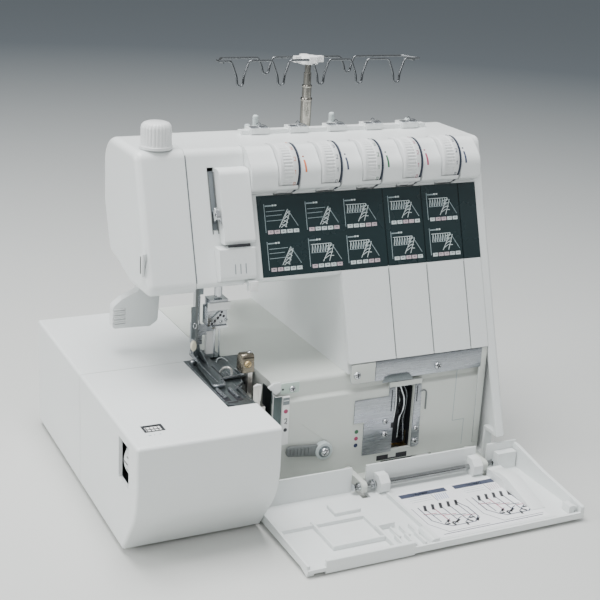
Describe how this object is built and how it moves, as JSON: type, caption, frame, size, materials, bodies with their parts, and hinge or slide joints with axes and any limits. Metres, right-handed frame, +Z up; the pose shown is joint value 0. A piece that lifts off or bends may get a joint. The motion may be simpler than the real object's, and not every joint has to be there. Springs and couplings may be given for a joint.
{
  "type": "serger overlock sewing machine",
  "caption": "Overlock sewing machine with an opened hinged looper cover, tension dials, thread guides, spool stand and a telescopic thread pole.",
  "frame": {"origin": "centre of the bounding box's footprint, at the ground under the rubber feet", "axes": "+X to the machine's right (handwheel side), +Y to the rear, +Z up; the operator sits at -Y"},
  "size_m": [0.386, 0.337, 0.3495],
  "materials": {
    "shell_plastic": "pale cool grey moulded shell, satin",
    "chart_print": "dark blue-green printed panel",
    "plate_steel": "ground steel, slightly dark",
    "bright_steel": "bright plated steel",
    "knife_alloy": "bronze-toned knife block",
    "frame_casting": "sand-blasted die casting",
    "bush_bronze": "oiled sintered bronze",
    "dial_plastic": "pale grey knobs",
    "foot_rubber": "black rubber",
    "grey_plastic": "mid grey plastic",
    "dark_plastic": "black plastic",
    "motor_enamel": "grey enamel"
  },
  "bodies": {
    "machine": {"base_tray": "shell_plastic", "rubber_feet": "foot_rubber", "lower_housing": "shell_plastic", "side_cover": "shell_plastic", "extension_table": "shell_plastic", "needle_plate": "plate_steel", "arm_housing": "shell_plastic", "head_cover": "shell_plastic", "rear_cover": "shell_plastic", "cast_frame": "frame_casting", "bearings": "bush_bronze", "chart_panel": "chart_print", "lower_front_panel": "shell_plastic", "tension_housing": "shell_plastic", "tension_shafts": "bright_steel", "takeup_cover": "shell_plastic", "thread_guide_bar": "shell_plastic", "guide_springs": "plate_steel", "spool_stand": "shell_plastic", "spool_pins": "grey_plastic", "pole_base": "bright_steel", "looper_plates": "shell_plastic", "cover_screws": "plate_steel", "hinge_shaft": "plate_steel", "lower_knife": "plate_steel", "motor": "motor_enamel", "drive_belt": "foot_rubber", "power_inlet": "dark_plastic"},
    "handwheel_set": {"main_shaft": "bright_steel", "handwheel": "dial_plastic"},
    "motor_rotor": {"motor_pulley": "grey_plastic"},
    "needle_drive": {"needle_bar": "bright_steel", "needle_clamp": "plate_steel", "needles": "bright_steel"},
    "presser_set": {"presser_bar": "bright_steel", "presser_foot": "plate_steel"},
    "lifter": {"presser_lifter": "plate_steel"},
    "upper_looper_arm": {"upper_looper": "bright_steel"},
    "lower_looper_arm": {"lower_looper": "bright_steel"},
    "threading_pair": {"threading_arms": "bright_steel"},
    "takeup_arm": {"takeup_lever": "bright_steel"},
    "knife_carrier": {"upper_knife": "knife_alloy"},
    "feed_carrier": {"feed_dogs": "plate_steel"},
    "presser_knob": {"presser_dial": "dial_plastic"},
    "length_wheel": {"stitch_dial": "dial_plastic"},
    "cover_door": {"looper_cover": "shell_plastic"},
    "cover_catch": {"cover_latch": "grey_plastic"},
    "pole_middle": {"pole_lower": "bright_steel"},
    "pole_head": {"pole_upper": "bright_steel", "guide_wire": "bright_steel", "pole_cap": "shell_plastic"},
    "selector": {"selector_lever": "grey_plastic"},
    "threader": {"threader_lever": "shell_plastic"},
    "switch_rocker": {"power_switch": "dark_plastic"},
    "slider_knob": {"threading_slider": "grey_plastic"},
    "dial_1": {"tension_dial_1": "dial_plastic"},
    "dial_2": {"tension_dial_2": "dial_plastic"},
    "dial_3": {"tension_dial_3": "dial_plastic"},
    "dial_4": {"tension_dial_4": "dial_plastic"},
    "dial_5": {"tension_dial_5": "dial_plastic"}
  },
  "joints": [
    {"name": "handwheel_spin", "type": "hinge", "parent": "machine", "child": "handwheel_set", "pos_m": [0.171, 0.0665, 0.066], "axis": [1, 0, 0], "continuous": true},
    {"name": "motor_spin", "type": "hinge", "parent": "machine", "child": "motor_rotor", "pos_m": [0.145, 0.1315, 0.054], "axis": [1, 0, 0], "continuous": true},
    {"name": "needle_slide", "type": "slide", "parent": "machine", "child": "needle_drive", "axis": [0, 0, 1], "range_m": [-0.014, 0.012]},
    {"name": "upper_looper_swing", "type": "hinge", "parent": "machine", "child": "upper_looper_arm", "pos_m": [-0.0565, 0.0015, 0.052], "axis": [0, 1, 0], "range_deg": [-8, 8]},
    {"name": "lower_looper_swing", "type": "hinge", "parent": "machine", "child": "lower_looper_arm", "pos_m": [-0.067, 0.0185, 0.034], "axis": [0, 1, 0], "range_deg": [-8, 8]},
    {"name": "threading_swing", "type": "hinge", "parent": "machine", "child": "threading_pair", "pos_m": [0.083, -0.0205, 0.028], "axis": [1, 0, 0], "range_deg": [-6, 6]},
    {"name": "takeup_swing", "type": "hinge", "parent": "machine", "child": "takeup_arm", "pos_m": [-0.0898, 0.0215, 0.221], "axis": [1, 0, 0], "range_deg": [-9, 9]},
    {"name": "knife_slide", "type": "slide", "parent": "machine", "child": "knife_carrier", "axis": [0, 0, 1], "range_m": [-0.0045, 0.0045]},
    {"name": "feed_slide", "type": "slide", "parent": "machine", "child": "feed_carrier", "axis": [0, 1, 0], "range_m": [-0.002, 0.002]},
    {"name": "lifter_turn", "type": "hinge", "parent": "machine", "child": "lifter", "pos_m": [-0.105, 0.0695, 0.172], "axis": [0, 1, 0], "range_deg": [0, 22]},
    {"name": "presser_slide", "type": "slide", "parent": "machine", "child": "presser_set", "axis": [0, 0, 1], "range_m": [0, 0.0062]},
    {"name": "tension_dial_1_turn", "type": "hinge", "parent": "machine", "child": "dial_1", "pos_m": [-0.0277, 0.015, 0.272], "axis": [1, 0, 0], "range_deg": [-135, 135]},
    {"name": "tension_dial_2_turn", "type": "hinge", "parent": "machine", "child": "dial_2", "pos_m": [0.0109, 0.015, 0.272], "axis": [1, 0, 0], "range_deg": [-135, 135]},
    {"name": "tension_dial_3_turn", "type": "hinge", "parent": "machine", "child": "dial_3", "pos_m": [0.0495, 0.015, 0.272], "axis": [1, 0, 0], "range_deg": [-135, 135]},
    {"name": "tension_dial_4_turn", "type": "hinge", "parent": "machine", "child": "dial_4", "pos_m": [0.0881, 0.015, 0.272], "axis": [1, 0, 0], "range_deg": [-135, 135]},
    {"name": "tension_dial_5_turn", "type": "hinge", "parent": "machine", "child": "dial_5", "pos_m": [0.1267, 0.015, 0.272], "axis": [1, 0, 0], "range_deg": [-135, 135]},
    {"name": "presser_dial_turn", "type": "hinge", "parent": "machine", "child": "presser_knob", "pos_m": [-0.1296, 0.0295, 0.28], "axis": [0, 0, 1], "range_deg": [-150, 150]},
    {"name": "stitch_dial_turn", "type": "hinge", "parent": "machine", "child": "length_wheel", "pos_m": [-0.1715, -0.0875, 0.079], "axis": [0, 1, 0], "range_deg": [-120, 120]},
    {"name": "cover_hinge", "type": "hinge", "parent": "machine", "child": "cover_door", "pos_m": [0.089, -0.071, 0.013], "axis": [1, 0, 0], "range_deg": [-108, 0]},
    {"name": "latch_slide", "type": "slide", "parent": "cover_door", "child": "cover_catch", "axis": [1, 0, 0], "range_m": [0, 0.0006], "stiffness_N_per_m": 200, "springref_m": -0.002},
    {"name": "pole_lower_slide", "type": "slide", "parent": "machine", "child": "pole_middle", "axis": [0, 0, 1], "range_m": [0, 0.085]},
    {"name": "pole_upper_slide", "type": "slide", "parent": "pole_middle", "child": "pole_head", "axis": [0, 0, 1], "range_m": [0, 0.085]},
    {"name": "selector_turn", "type": "hinge", "parent": "machine", "child": "selector", "pos_m": [-0.0015, -0.0425, 0.038], "axis": [0, 1, 0], "range_deg": [-20, 25]},
    {"name": "threader_slide", "type": "slide", "parent": "machine", "child": "threader", "axis": [0, 0.3206, 0.9472], "range_m": [-0.01, 0], "stiffness_N_per_m": 60, "springref_m": 0.002},
    {"name": "switch_rock", "type": "hinge", "parent": "machine", "child": "switch_rocker", "pos_m": [0.166, 0.1375, 0.037], "axis": [0, 1, 0], "range_deg": [0, 8]},
    {"name": "slider_slide", "type": "slide", "parent": "machine", "child": "slider_knob", "axis": [1, 0, 0], "range_m": [-0.034, 0]}
  ],
  "couplings": [
    {"joint": "motor_spin", "follows": "handwheel_spin", "ratio": 3.1429},
    {"joint": "upper_looper_swing", "follows": "needle_slide", "rad_per_m": 8.73},
    {"joint": "lower_looper_swing", "follows": "needle_slide", "rad_per_m": -8.73},
    {"joint": "threading_swing", "follows": "needle_slide", "rad_per_m": 6},
    {"joint": "takeup_swing", "follows": "needle_slide", "rad_per_m": -10},
    {"joint": "knife_slide", "follows": "needle_slide", "ratio": 0.28},
    {"joint": "feed_slide", "follows": "needle_slide", "ratio": 0.1},
    {"joint": "presser_slide", "follows": "lifter_turn", "m_per_rad": 0.0156}
  ]
}
